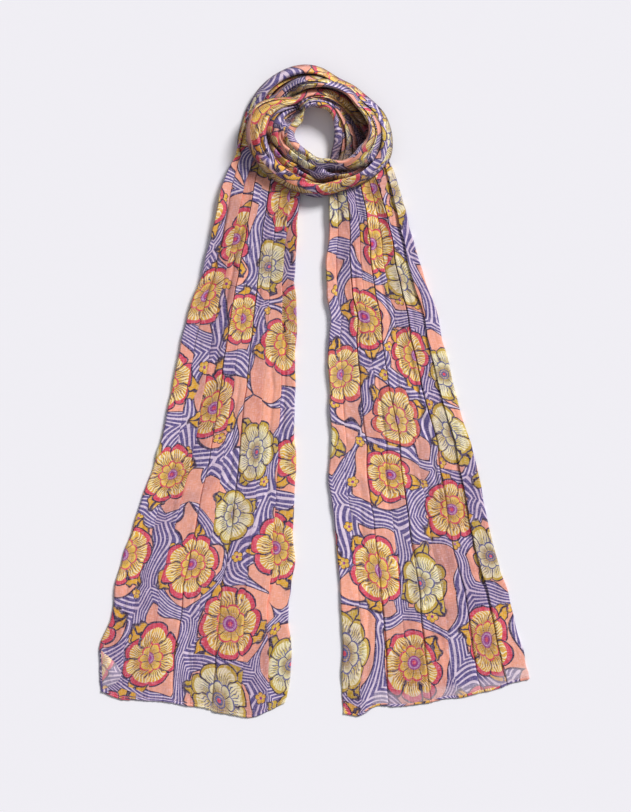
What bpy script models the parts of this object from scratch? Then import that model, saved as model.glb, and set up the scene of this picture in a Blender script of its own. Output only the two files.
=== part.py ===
"""A cotton voile scarf laid flat, wound nearly twice into a neck loop, with two pleated ends.

Frame: the cloth lies on the plane z = 0, x runs to the right and y towards the loop. The five
solids are the five stretches of one strip of cloth that show: the two ends, the outer course of
the loop, its front course that crosses both ends, and its inner course. Each course is laid on
what lies under it. Sizes are in millimetres here and become metres in the meshes.
"""
import math

import bmesh
import bpy
import numpy as np
from mathutils import Vector
from mathutils.bvhtree import BVHTree

METRES = 0.001
WALL = 1.6                 # thickness of the cloth wall in the two ends
SEAM_GAP = 0.3             # air between stretches that follow each other
DRAPE_GAP = 0.8            # air between a course and the cloth that it lies on
STEEPEST = 1.5             # steepest slope that the wall's thickness is corrected for
PLEAT_STEPS = 4            # columns that draw one pleat
PLEAT_ROUNDING = 1.5       # power that widens the valleys between pleats
LOOP_CENTRE = (3.6, 309.6)  # middle of the neck loop in the plan
LEAST_COURSE = 4.0         # thinnest that a course gets on a crest where it climbs over another
LEAST_IN_VALLEY = 0.6      # share of that thickness which is left in a valley
SEAM_RADIUS = 25.0         # radius at which the gap between two courses is measured
FEEL_FROM = 200.0          # height from which the cloth below is felt
DRAPE_REACH = 7.0          # how far round each point the cloth below is felt
DRAPE_FEELS = 90           # spots felt within that reach
GOLDEN_ANGLE = math.pi * (3 - math.sqrt(5))
SHOULDER = 0.42            # share of a course's width over which its top rounds off
EDGE_HEIGHT = 0.45         # height of a course at its very edge, against the top just inside
EDGE_LAYER = 1.3           # how far the layers at a course's edges stand out

# The points that draw the folded layers in a course's side edge: share of the way down, and
# how far each stands out against EDGE_LAYER.
LAYER_COLUMNS = ("share", "stand")
EDGE_LAYER_ROWS = (
    (0.30, 1.0),
    (0.55, 0.0),
    (0.80, 1.0),
)

# One row for each cross-line of an end, from the loop down: its place, its two side edges and
# how high its pleats stand there.
END_COLUMNS = ("y", "left", "right", "rise")
LEFT_END_ROWS = (
    (276, -98, -19, 9.0),
    (254, -108, -18, 9.5),
    (231, -115, -19, 9.0),
    (190, -124, -21, 7.5),
    (154, -132, -23, 6.5),
    (98, -150, -24, 5.6),
    (40, -163, -24, 5.0),
    (-12, -174, -25, 4.6),
    (-72, -189, -24, 4.3),
    (-120, -203, -24, 4.0),
    (-170, -221, -25, 3.8),
    (-202, -232, -25, 3.6),
    (-240, -239, -31, 3.5),
    (-275, -246, -31, 3.4),
    (-304, -257, -28, 3.3),
    (-332, -259, -30, 3.2),
    (-358, -256, -34, 3.0),
)
RIGHT_END_ROWS = (
    (270, 13, 91, 9.0),
    (246, 15, 98, 9.5),
    (221, 17, 105, 9.0),
    (196, 17, 113, 8.0),
    (160, 15, 124, 7.0),
    (120, 15, 137, 6.2),
    (80, 19, 148, 5.6),
    (35, 18, 159, 5.2),
    (-24, 18, 175, 4.8),
    (-71, 19, 188, 4.4),
    (-110, 18, 198, 4.1),
    (-154, 23, 206, 3.9),
    (-204, 28, 219, 3.7),
    (-248, 31, 232, 3.5),
    (-300, 34, 247, 3.3),
    (-345, 32, 259, 3.1),
)

# How far the hem hangs below an end's last cross-line, by share of the width from the left.
HEM_COLUMNS = ("share", "drop")
LEFT_HEM_ROWS = (
    (0.0, 0), (0.1, 10), (0.3, 13), (0.48, 20), (0.65, 27), (0.8, 32), (0.9, 27), (1.0, 16),
)
RIGHT_HEM_ROWS = (
    (0.0, 40), (0.08, 43), (0.17, 34), (0.35, 32), (0.5, 27), (0.7, 18), (0.87, 8), (1.0, 1),
)
HEM_SWAY_SHARE = 0.35      # share of an end's length over which its cross-lines bend to the hem

# One row for each pleat from left to right: its share of the width, its height against the
# row's rise, and where its crest lies between its two valleys.
PLEAT_COLUMNS = ("width", "height", "crest")
LEFT_END_PLEATS = (
    (0.13, 0.80, 0.60),
    (0.14, 1.00, 0.38),
    (0.13, 0.85, 0.62),
    (0.10, 0.70, 0.45),
    (0.11, 1.00, 0.64),
    (0.14, 0.90, 0.40),
    (0.14, 1.05, 0.60),
    (0.11, 0.75, 0.42),
)
RIGHT_END_PLEATS = (
    (0.11, 0.80, 0.55),
    (0.14, 1.00, 0.40),
    (0.12, 0.85, 0.60),
    (0.11, 0.75, 0.42),
    (0.13, 1.05, 0.62),
    (0.13, 0.85, 0.38),
    (0.13, 0.95, 0.60),
    (0.13, 0.80, 0.45),
)

# One row for each place on the strip's way round the loop. turn is its angle in degrees,
# clockwise from the positive x axis and growing along the strip. skew turns the outer edge
# back against the inner edge. The radii are those of the two edges, and the heights those
# of the top just inside them.
COURSE_COLUMNS = ("turn", "skew", "inner", "outer", "top_in", "top_out")
OUTER_COURSE_ROWS = (
    (-217, 38, 40, 106, 10, 10),
    (-196, 16, 43, 99, 12, 12),
    (-175, 2, 44, 93, 13, 13),
    (-155, 0, 47, 89, 11, 18),
    (-138, 0, 50, 87, 11, 26),
    (-124, 0, 51, 85, 15, 28),
    (-108, 0, 51, 83, 29, 27),
    (-90, 0, 50, 78, 35, 25),
    (-70, 0, 52, 68, 36, 27),
    (-50, 0, 53, 69, 36, 28),
    (-35, 0, 52, 71, 36, 29),
    (-15, 0, 57, 81, 36, 27),
    (0, 0, 60, 86, 36, 25),
    (10, 0, 58, 89, 36, 24),
    (22, 0, 52, 91, 35, 25),
    (35, 0, 50, 87, 34, 26),
    (50, 0, 47, 82, 33, 28),
)
FRONT_COURSE_ROWS = (
    (50, 0, 47, 82, 33, 28),
    (67, 0, 37, 78, 32, 28),
    (90, 0, 33, 79, 31, 27),
    (110, 0, 28, 76, 30, 27),
    (136, 0, 27, 79, 29, 30),
    (151, 0, 28, 82, 29, 33),
    (166, 0, 29, 86, 29, 35),
    (185, 0, 25, 87, 28, 37),
    (200, 0, 21, 85, 27, 36),
    (213, 0, 20, 72, 26, 34),
    (225, 0, 23, 58, 26, 30),
    (236, 0, 27, 51, 25, 27),
)
INNER_COURSE_ROWS = (
    (236, 0, 27, 51, 25, 27),
    (250, 0, 29, 52, 24, 25),
    (270, 0, 27, 54, 23, 23),
    (290, 0, 27, 55, 21, 22),
    (310, 0, 24, 57, 19, 20),
    (325, 0, 21, 60, 17, 17),
    (345, 0, 19, 66, 15, 14),
    (360, -6, 19, 72, 13, 12),
    (378, -24, 21, 82, 12, 10),
    (396, -40, 28, 91, 11, 10),
    (411, -53, 40, 96, 10, 10),
)
OUTER_COURSE_STEPS = 36
FRONT_COURSE_STEPS = 32
INNER_COURSE_STEPS = 24

# The long folds of a course, from its inner to its outer edge, as the pleats of the ends.
OUTER_COURSE_FOLDS = (
    (0.30, 1.00, 0.45),
    (0.16, 0.75, 0.60),
    (0.24, 1.00, 0.40),
    (0.17, 0.70, 0.60),
    (0.13, 0.60, 0.50),
)
FRONT_COURSE_FOLDS = (
    (0.20, 0.90, 0.60),
    (0.15, 0.80, 0.40),
    (0.20, 1.00, 0.62),
    (0.13, 0.80, 0.40),
    (0.18, 1.00, 0.58),
    (0.14, 0.80, 0.45),
)
INNER_COURSE_FOLDS = (
    (0.24, 0.90, 0.55),
    (0.18, 0.75, 0.40),
    (0.24, 1.00, 0.60),
    (0.19, 0.80, 0.42),
    (0.15, 0.70, 0.50),
)
FOLD_DEPTH = 4.2           # how deep the valleys between a course's folds are

CLOTH_COLOUR = (0.46, 0.27, 0.23, 1.0)
CLOTH_ROUGHNESS = 0.85


def column(rows, names, name):
    """One named column of a table."""
    place = names.index(name)
    return np.array([row[place] for row in rows], float)


def read_smoothly(keys, values, wanted):
    """Values of a smooth curve through a table's points, at the wanted keys."""
    slopes = np.gradient(values, keys)
    cell = np.clip(np.searchsorted(keys, wanted, side="right") - 1, 0, len(keys) - 2)
    span = keys[cell + 1] - keys[cell]
    t = (wanted - keys[cell]) / span
    start_weight = (1 + 2 * t) * (1 - t) ** 2
    end_weight = t * t * (3 - 2 * t)
    bend = t * (1 - t) ** 2 * slopes[cell] - t * t * (1 - t) * slopes[cell + 1]
    return start_weight * values[cell] + end_weight * values[cell + 1] + span * bend


def pleat_profile(pleats):
    """Shares across the cloth and heights from 0 to 1 that draw the pleats, valley to valley."""
    widths = column(pleats, PLEAT_COLUMNS, "width")
    heights = column(pleats, PLEAT_COLUMNS, "height")
    crests = column(pleats, PLEAT_COLUMNS, "crest")
    starts = np.concatenate(([0.0], np.cumsum(widths))) / widths.sum()
    shares = []
    rises = []
    for index, (height, crest) in enumerate(zip(heights, crests)):
        left = starts[index]
        width = starts[index + 1] - left
        for step in range(PLEAT_STEPS):
            phase = step / PLEAT_STEPS
            if phase < 0.5:
                place = 2 * phase * crest
            else:
                place = crest + (2 * phase - 1) * (1 - crest)
            shares.append(left + width * place)
            rises.append(height * math.sin(math.pi * phase) ** PLEAT_ROUNDING)
    return np.array(shares + [1.0]), np.array(rises + [0.0])


def solid_from_sections(name, tops, bottoms, near_edges, far_edges, material):
    """Close a row of cross-sections into one solid.

    tops and bottoms hold the same number of points in each section. near_edges and far_edges
    hold the few points that draw its two side edges, from the top down, or none.
    """
    sections, across = tops.shape[:2]
    rings = np.concatenate((tops, far_edges, bottoms[:, ::-1], near_edges[:, ::-1]), axis=1)
    around = rings.shape[1]
    faces = []
    for row in range(sections - 1):
        for spot in range(around):
            after = (spot + 1) % around
            low = row * around
            high = low + around
            faces.append((low + spot, low + after, high + after, high + spot))
    side = far_edges.shape[1]
    for row in (0, sections - 1):
        first = row * around
        for spot in range(across - 1):
            under = 2 * across + side - 1 - spot
            faces.append((first + spot, first + spot + 1, first + under - 1, first + under))
        if side:
            far = [first + spot for spot in range(across - 1, across + side + 1)]
            near = [first + spot for spot in range(2 * across + side - 1, around)] + [first]
            faces.append(tuple(far))
            faces.append(tuple(near))
    mesh = bpy.data.meshes.new(name)
    points = [tuple(point * METRES) for point in rings.reshape(-1, 3)]
    mesh.from_pydata(points, [], faces)
    tidy = bmesh.new()
    tidy.from_mesh(mesh)
    bmesh.ops.recalc_face_normals(tidy, faces=tidy.faces)
    tidy.to_mesh(mesh)
    tidy.free()
    mesh.materials.append(material)
    mesh.polygons.foreach_set("use_smooth", [True] * len(mesh.polygons))
    solid = bpy.data.objects.new(name, mesh)
    bpy.context.collection.objects.link(solid)
    return solid


def end_of_scarf(name, rows, hem_rows, pleats, material):
    """One hanging end: a pleated wall whose valleys lie flat on the surface."""
    shares, rises = pleat_profile(pleats)
    hem_drop = read_smoothly(
        column(hem_rows, HEM_COLUMNS, "share"), column(hem_rows, HEM_COLUMNS, "drop"), shares
    )
    levels = column(rows, END_COLUMNS, "y")
    lefts = column(rows, END_COLUMNS, "left")
    rights = column(rows, END_COLUMNS, "right")
    heights = column(rows, END_COLUMNS, "rise")
    length = levels[0] - levels[-1]
    tops = []
    bottoms = []
    for level, left, right, height in zip(levels, lefts, rights, heights):
        near_hem = max(0.0, 1 - (level - levels[-1]) / (HEM_SWAY_SHARE * length))
        x = left + (right - left) * shares
        y = level - hem_drop * near_hem ** 2
        top = WALL + height * rises
        slope = np.abs(np.gradient(top, x))
        wall = WALL * np.sqrt(1 + np.minimum(slope, STEEPEST) ** 2)
        tops.append(np.stack((x, y, top), axis=1))
        bottoms.append(np.stack((x, y, np.maximum(0.0, top - wall)), axis=1))
    no_edge = np.zeros((len(rows), 0, 3))
    return solid_from_sections(
        name, np.array(tops), np.array(bottoms), no_edge, no_edge, material
    )


def height_of_cloth_below(x, y, laid):
    """Greatest height of the cloth already laid at a point in the plan and close round it."""
    height = 0.0
    for feel in range(DRAPE_FEELS):
        reach = DRAPE_REACH * math.sqrt(feel / DRAPE_FEELS)
        angle = feel * GOLDEN_ANGLE
        spot = (x + reach * math.cos(angle), y + reach * math.sin(angle), FEEL_FROM)
        above = Vector(spot) * METRES
        for tree in laid:
            hit = tree.ray_cast(above, Vector((0, 0, -1)))[0]
            if hit is not None:
                height = max(height, hit.z / METRES)
    return height


def course_section(turn, skew, inner, outer, top_in, top_out, profile, laid):
    """The top and underside of a course's cross-section, laid on what is under it."""
    shares, rises = profile
    inner_angle = math.radians(-turn + 0.5 * skew)
    outer_angle = math.radians(-turn - 0.5 * skew)
    inner_end = inner * np.array((math.cos(inner_angle), math.sin(inner_angle)))
    outer_end = outer * np.array((math.cos(outer_angle), math.sin(outer_angle)))
    across = inner_end + np.outer(shares, outer_end - inner_end)
    x = LOOP_CENTRE[0] + across[:, 0]
    y = LOOP_CENTRE[1] + across[:, 1]
    below = np.array([height_of_cloth_below(*spot, laid) for spot in zip(x, y)])
    bottom = np.where(below > 0, below + DRAPE_GAP, 0.0)
    to_edge = np.minimum(shares, 1 - shares) / SHOULDER
    rounding = np.sqrt(1 - (1 - np.minimum(to_edge, 1.0)) ** 2)
    height = top_in + (top_out - top_in) * shares
    top = height * (EDGE_HEIGHT + (1 - EDGE_HEIGHT) * rounding) - FOLD_DEPTH * (1 - rises)
    least = LEAST_COURSE * (LEAST_IN_VALLEY + (1 - LEAST_IN_VALLEY) * rises)
    top = np.maximum(top, bottom + least)
    return np.stack((x, y, top), axis=1), np.stack((x, y, bottom), axis=1)


def side_edge(top, bottom, outwards):
    """Points down a course's side edge, which draw its folded layers."""
    points = []
    shares = column(EDGE_LAYER_ROWS, LAYER_COLUMNS, "share")
    stands = column(EDGE_LAYER_ROWS, LAYER_COLUMNS, "stand")
    for share, stand in zip(shares, stands):
        point = top + (bottom - top) * share
        points.append(point + outwards * EDGE_LAYER * stand)
    return points


def course_of_loop(name, rows, steps, folds, laid, material):
    """One course of the loop: a gathered bundle with long folds, between two cut faces."""
    turns = column(rows, COURSE_COLUMNS, "turn")
    profile = pleat_profile(folds)
    seam_turn = math.degrees(0.5 * SEAM_GAP / SEAM_RADIUS)
    wanted = np.linspace(turns[0] + seam_turn, turns[-1] - seam_turn, steps)
    curves = [
        read_smoothly(turns, column(rows, COURSE_COLUMNS, size_name), wanted)
        for size_name in COURSE_COLUMNS[1:]
    ]
    tops = []
    bottoms = []
    near_edges = []
    far_edges = []
    for turn, *sizes in zip(wanted, *curves):
        top, bottom = course_section(turn, *sizes, profile, laid)
        across = top[-1] - top[0]
        across[2] = 0.0
        outwards = across / np.linalg.norm(across)
        tops.append(top)
        bottoms.append(bottom)
        near_edges.append(side_edge(top[0], bottom[0], -outwards))
        far_edges.append(side_edge(top[-1], bottom[-1], outwards))
    return solid_from_sections(
        name, np.array(tops), np.array(bottoms), np.array(near_edges), np.array(far_edges),
        material,
    )


def cloth_material():
    """Plain woven cotton in the print's mean colour."""
    material = bpy.data.materials.new("printed_voile")
    material.use_nodes = True
    shader = material.node_tree.nodes["Principled BSDF"]
    shader.inputs["Base Color"].default_value = CLOTH_COLOUR
    shader.inputs["Roughness"].default_value = CLOTH_ROUGHNESS
    return material


def tree_of(solid):
    """A solid's faces, ready to be felt from above."""
    corners = [vertex.co.copy() for vertex in solid.data.vertices]
    faces = [tuple(face.vertices) for face in solid.data.polygons]
    return BVHTree.FromPolygons(corners, faces)


def stand_on_origin(solids):
    """Move the whole scarf so that the origin lies under the middle of its box."""
    corners = np.array([tuple(vertex.co) for solid in solids for vertex in solid.data.vertices])
    low = corners.min(axis=0)
    high = corners.max(axis=0)
    middle = Vector(((low[0] + high[0]) / 2, (low[1] + high[1]) / 2, low[2]))
    for solid in solids:
        for vertex in solid.data.vertices:
            vertex.co -= middle


def build():
    for leftover in list(bpy.data.objects):
        bpy.data.objects.remove(leftover)
    material = cloth_material()
    left = end_of_scarf("left_end", LEFT_END_ROWS, LEFT_HEM_ROWS, LEFT_END_PLEATS, material)
    right = end_of_scarf(
        "right_end", RIGHT_END_ROWS, RIGHT_HEM_ROWS, RIGHT_END_PLEATS, material
    )
    inner = course_of_loop(
        "loop_inner_course", INNER_COURSE_ROWS, INNER_COURSE_STEPS, INNER_COURSE_FOLDS, [],
        material,
    )
    laid = [tree_of(left), tree_of(right), tree_of(inner)]
    outer = course_of_loop(
        "loop_outer_course", OUTER_COURSE_ROWS, OUTER_COURSE_STEPS, OUTER_COURSE_FOLDS, laid,
        material,
    )
    laid.append(tree_of(outer))
    front = course_of_loop(
        "loop_front_course", FRONT_COURSE_ROWS, FRONT_COURSE_STEPS, FRONT_COURSE_FOLDS, laid,
        material,
    )
    stand_on_origin((left, right, inner, outer, front))


build()
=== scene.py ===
"""Looks of the cotton voile scarf: thin pleated cloth with a printed pattern, laid on a pale floor.

The whole scarf is one strip of cloth. It is worked out here row by row, from the left hem up
round the neck loop and down to the right hem, and then cut into the five stretches that the
solids stand for. Plan positions repeat the solids' own tables. Sizes are in millimetres up to
the point where meshes are made.
"""
import math
from types import SimpleNamespace

import bpy
import numpy as np
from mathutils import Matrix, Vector
from mathutils.bvhtree import BVHTree


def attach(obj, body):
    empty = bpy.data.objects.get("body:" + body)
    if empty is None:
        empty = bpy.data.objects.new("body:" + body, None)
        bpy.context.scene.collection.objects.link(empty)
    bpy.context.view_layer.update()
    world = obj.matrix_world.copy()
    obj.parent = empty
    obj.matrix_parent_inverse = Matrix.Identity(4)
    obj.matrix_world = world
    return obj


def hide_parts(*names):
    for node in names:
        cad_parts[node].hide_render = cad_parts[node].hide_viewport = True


METRES = 0.001
UPWARDS = np.array((0.0, 0.0, 1.0))
DOWN = Vector((0, 0, -1))


def table(names, rows):
    """A table's columns as arrays, by the names at its head."""
    return dict(zip(names.split(), np.array(rows, float).T))


# ---------------------------------------------------------------- plan of the laid strip

LOOP_CENTRE = (3.6, 309.3)

# Cross-lines of the two ends, from the loop down: place, side edges and pleat height.
END_COLUMNS = "y left right rise"
LEFT_END = table(END_COLUMNS, (
    (276, -98, -19, 9.0),
    (254, -108, -18, 9.5),
    (231, -115, -19, 9.0),
    (190, -124, -21, 7.5),
    (154, -132, -23, 6.5),
    (98, -150, -24, 5.6),
    (40, -163, -24, 5.0),
    (-12, -174, -25, 4.6),
    (-72, -189, -24, 4.3),
    (-120, -203, -24, 4.0),
    (-170, -221, -25, 3.8),
    (-202, -232, -25, 3.6),
    (-240, -239, -31, 3.5),
    (-275, -246, -31, 3.4),
    (-304, -257, -28, 3.3),
    (-332, -259, -30, 3.2),
    (-358, -256, -34, 3.0),
))
RIGHT_END = table(END_COLUMNS, (
    (270, 13, 91, 9.0),
    (246, 15, 98, 9.5),
    (221, 17, 105, 9.0),
    (196, 17, 113, 8.0),
    (160, 15, 124, 7.0),
    (120, 15, 137, 6.2),
    (80, 19, 148, 5.6),
    (35, 18, 159, 5.2),
    (-24, 18, 175, 4.8),
    (-71, 19, 188, 4.4),
    (-110, 18, 198, 4.1),
    (-154, 23, 206, 3.9),
    (-204, 28, 219, 3.7),
    (-248, 31, 232, 3.5),
    (-300, 34, 247, 3.3),
    (-345, 32, 259, 3.1),
))
# How far the hems hang below the ends' last cross-lines, at shares of the way across.
HEM_COLUMNS = "share drop"
LEFT_HEM = table(HEM_COLUMNS, (
    (0.0, 0), (0.1, 10), (0.3, 13), (0.48, 20), (0.65, 27), (0.8, 32), (0.9, 27), (1.0, 16),
))
RIGHT_HEM = table(HEM_COLUMNS, (
    (0.0, 40), (0.08, 43), (0.17, 34), (0.35, 32), (0.5, 27), (0.7, 18), (0.87, 8), (1.0, 1),
))
HEM_SWAY_SHARE = 0.35  # share of an end's length over which its rows come to lie as the hem
HEM_SCALLOP = 1.8  # small waves of the hems
HEM_SCALLOPS = 11.0  # and how many there are
HEM_RISE = 0.38  # height of the pleats at the hems, against their height further up
HEM_REACH = 50.0  # how far up they are lower

# Places on the way round the loop: angle clockwise from the x axis, how far the outer edge is
# turned back against the inner one, the radii of the two edges, and the heights of the top.
COURSES = table("turn skew inner outer top_in top_out", (
    # The outer course.
    (-217, 38, 40, 106, 10, 10),
    (-196, 16, 43, 99, 12, 12),
    (-175, 2, 44, 93, 13, 13),
    (-155, 0, 47, 89, 11, 18),
    (-138, 0, 50, 87, 11, 26),
    (-124, 0, 51, 85, 15, 28),
    (-108, 0, 51, 83, 29, 27),
    (-90, 0, 50, 78, 35, 25),
    (-70, 0, 52, 68, 36, 27),
    (-50, 0, 53, 69, 36, 28),
    (-35, 0, 52, 71, 36, 29),
    (-15, 0, 57, 81, 36, 27),
    (0, 0, 60, 86, 36, 25),
    (10, 0, 58, 89, 36, 24),
    (22, 0, 52, 91, 35, 25),
    (35, 0, 50, 87, 34, 26),
    (50, 0, 47, 82, 33, 28),
    # The front course.
    (67, 0, 37, 78, 32, 28),
    (90, 0, 33, 79, 31, 27),
    (110, 0, 28, 76, 30, 27),
    (136, 0, 27, 79, 29, 30),
    (151, 0, 28, 82, 29, 33),
    (166, 0, 29, 86, 29, 35),
    (185, 0, 25, 87, 28, 37),
    (200, 0, 21, 85, 27, 36),
    (213, 0, 20, 72, 26, 34),
    (225, 0, 23, 58, 26, 30),
    (236, 0, 27, 51, 25, 27),
    # The inner course.
    (250, 0, 29, 52, 28, 26),
    (270, 0, 27, 54, 29, 25),
    (290, 0, 27, 55, 28, 22),
    (310, 0, 24, 57, 25, 14),
    (325, 0, 21, 60, 22, 9),
    (345, 0, 19, 66, 19, 6),
    (360, -6, 19, 72, 17, 6),
    (378, -24, 21, 82, 14, 6),
    (396, -40, 28, 91, 11, 8),
    (411, -53, 40, 96, 9, 9),
))
# The turn before which each course ends, as its solid does.
COURSE_ENDS = (
    ("loop_outer_course", 50), ("loop_front_course", 236), ("loop_inner_course", 411)
)
NO_TURN = -1000.0  # stands for a turn in the ends
MIDDLE_RADIUS = 62.0  # of the loop
LOOP_END_SHARE = 0.04  # share of the loop's way over which it takes on an end's low pleats

# The strip's folds from its outer to its inner edge: the share of the width that each takes in
# the left end, the loop and the right end, to which side its sharp edge points in the ends
# (-1 outwards, 1 inwards), and how deep the valley after it is in each end, against the pleats.
FOLDS = table("left loop right left_sharp right_sharp left_valley right_valley", (
    (0.13, 0.07, 0.13, -1, 1, 0.45, 0.95),
    (0.14, 0.32, 0.13, 1, 1, 1.05, 0.95),
    (0.13, 0.05, 0.13, 1, -1, 0.75, 0.50),
    (0.10, 0.15, 0.13, -1, 1, 0.40, 1.00),
    (0.11, 0.05, 0.11, 1, -1, 1.05, 0.45),
    (0.14, 0.16, 0.12, -1, 1, 0.45, 1.05),
    (0.14, 0.06, 0.14, 1, -1, 1.05, 0.55),
    (0.11, 0.14, 0.11, 1, 1, 0.0, 0.0),
))
FOLD_COUNT = len(FOLDS["loop"])
FOLD_SAMPLES = 20  # columns that draw one fold
SIDE_SAMPLES = 9  # columns that draw each side edge, from the top down
END_STEP = 2.3  # distance between rows in the ends
LOOP_STEP = 1.5  # distance between rows in the loop
END_BLEND_ROWS = 14  # rows over which an end's folds change into the loop's
EASING_ROWS = 2.5  # how widely the cross-lines are averaged
EASED_AFTER = 12.0  # rows from the hems after which they are

END_WANDER = 0.09  # how unevenly the folds' widths change along the ends
LOOP_WANDER = 0.42  # and round the loop
PLEAT_RISE = 1.25  # how much higher thin cloth stands than the solids' thick pleats
LOOP_FOLD_DEPTH = 16.0  # valleys between the loop's folds
FOLD_LIFT = 2.6  # how far the loop's folds lie above or below one another
END_VALLEY_SHARE = 0.90  # valleys in the ends, against the pleats' height
PLEAT_LOW = 0.34  # height of a knife pleat's low side, against its sharp edge
LOW_SIDE_ROUND = 0.10  # share of its width over which a pleat's low side rounds off
SHARP_SIDE_ROUND = 0.07  # and its sharp edge
LOOP_ROUNDING = 0.30  # power that flattens the tops of the loop's folds
LOOP_LEAN = 0.8  # how far a fold leans over the next, against its depth
END_LEAN = 0.75
DEEPEST_LEAN = 9.0  # depth that counts for it at the most
LEAN_FROM = 0.06  # share of the width, from each edge, in which nothing leans
LOOP_SWELL = 0.10  # how unevenly high the loop's top is
CREST_POWER = 0.7  # how sharp the crests of crinkles are
# How long the waves are, along the strip, in which its folds are uneven.
WIDTH_WAVES = (120.0, 46.0)
VALLEY_WAVES = (95.0, 33.0)
LIFT_WAVE = 70.0
SWELL_WAVE = 60.0
DOUBLED_WAVE = 170.0
HIDDEN_IN_VALLEY = 11.0  # cloth tucked away in a deep valley, which cuts the print there
DEEP_VALLEY = 6.0  # depth of such a valley
MOST_HIDDEN = 1.2  # times as much as that, in the deepest ones
PRINT_BLUR_ROWS = 6.0  # rows over which the print's shifts are softened
LEAST_LEVEL = 0.5  # cloth over the floor, or over the cloth below
LEAST_END_ROOF = 2.0  # folds over the cloth below, in the ends
LEAST_LOOP_ROOF = 5.0  # and in the loop
DEEPEST_CREASE = 0.6  # against the height of the folds
DRAPE_REACH = 5  # columns and rows round a point in which the cloth below is felt
DRAPE_BLUR = 2.0  # and over which it is softened
FEEL_FROM = 0.2  # metres over the floor, higher than any cloth
SHOULDER = 0.24  # share of the loop's width over which its top rounds off
OUTER_EDGE_HEIGHT = 0.60  # height of the loop's outer edge against the top just inside
INNER_EDGE_HEIGHT = 0.88  # and of its inner edge
END_EDGE_HEIGHT = 0.55  # the same in the ends
LOOP_EDGE_DROP = 0.12  # how far the loop's first and last folds fall to the edge
LAYERS = 2.6  # folded layers that show in the loop's sides
LAYER_STAND = 0.13  # how far they stand out, against the height of the side
TUCK = 0.22  # how far the cloth turns under at the foot of a side, likewise
TUCK_FROM = 0.78  # share of the way down at which it starts to
UNDERCUT = 0.30  # how far the loop's sides draw in below the edge, likewise
OUTER_INSET = 3.4  # room left for the standing layers at the loop's outer edge
INNER_INSET = 1.5  # and at its inner edge
TOP_INSET = 2.8  # more room at the loop's top, where the sides stand higher
CROSSING_ROWS = 13  # rows on each side of the place where the front course dives inwards
PAINTED_SHADE_DEPTHS = (3.4, 10.0)  # depths in a valley or crease between which painted shade darkens the cloth
POCKET_SHADE_DEPTHS = (6.0, 17.0)  # depths below the bands' top between which painted shade darkens the pocket beside the hole
LOOP_TOP = 24.0  # height of the bands round that pocket

HEM_WIDTH = 2.8  # of the rolled hems at the two ends of the strip
HEM_HEIGHT = 1.1
HEM_FINE_PUCKER = (0.16, 2.6)  # how unevenly thick a hem is, and how quickly that changes
HEM_BROAD_PUCKER = (0.14, 9.0)
HEM_LIFT = 0.1  # how far its middle lies over the cloth's edge
HEM_CLEARANCE = 0.2  # and its underside over the floor
HEM_STEP = 1.2  # distance between the points that draw a hem
HEM_AROUND = 10
STITCH_SPACING = 3.6
STITCH_LENGTH = 2.0
STITCH_THICKNESS = 0.4
STITCH_AROUND = 5
STITCH_RINGS = ((-0.5, 0.25), (-0.36, 0.9), (0.0, 1.1), (0.36, 0.9), (0.5, 0.25))
SHEER_STRIP = 19.0  # height of the single layer that shows above the right hem
SHEER_FROM_TO = (66.0, 74.0)  # and the x between which it sets in
SHEER_SHARE = 0.34  # how much of the floor it lets through
SHEER_FADE = 7.0
CORNER_PALENESS = 0.30  # how pale the back of the turned corner looks
CORNER_DOUBLED = 0.3  # and how much of a second layer
CORNER_SAMPLES = 22  # points along and across it
CORNER_BULGE = 2.4  # height of its curl
CORNER_LIFT = 0.35  # and of all of it, over the cloth
TURNED_CORNER = ((-256.5, -312), (-254.5, -359), (-231, -341))

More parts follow.
